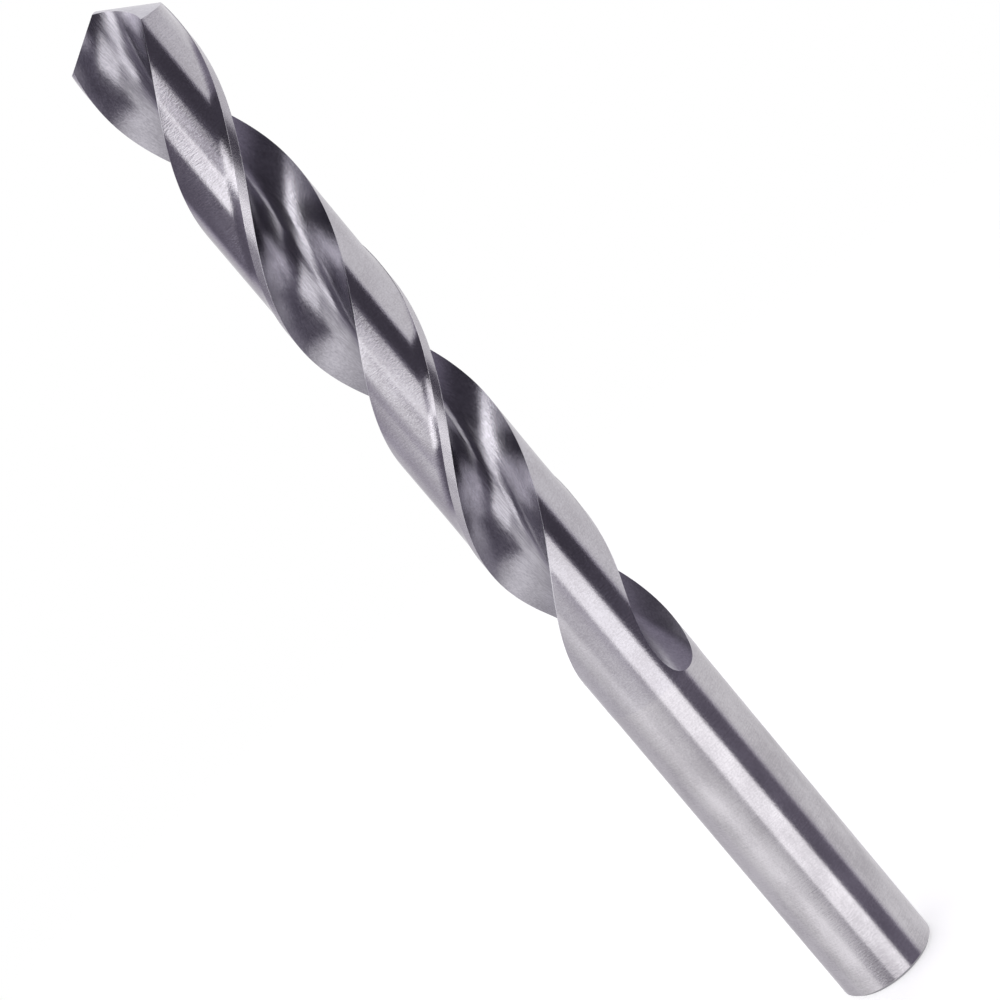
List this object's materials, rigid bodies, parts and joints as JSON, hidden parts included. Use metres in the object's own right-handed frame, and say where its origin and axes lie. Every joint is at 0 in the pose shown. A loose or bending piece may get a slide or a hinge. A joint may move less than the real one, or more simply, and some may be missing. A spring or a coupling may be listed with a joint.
{
  "type": "twist drill bit",
  "caption": "Ground steel twist drill bit with right-hand helical flutes, narrow margins, a cone-ground point and a plain straight shank.",
  "frame": {"origin": "centre of the flat end of the shank, on which the drill stands", "axes": "+Z along the axis from the shank to the point, +X the way the first cutting lip runs outwards"},
  "size_m": [0.016, 0.016, 0.178],
  "materials": {
    "ground_steel": "finely ground bright steel"
  },
  "bodies": {
    "root": {"twist_drill": "ground_steel"}
  },
  "joints": []
}
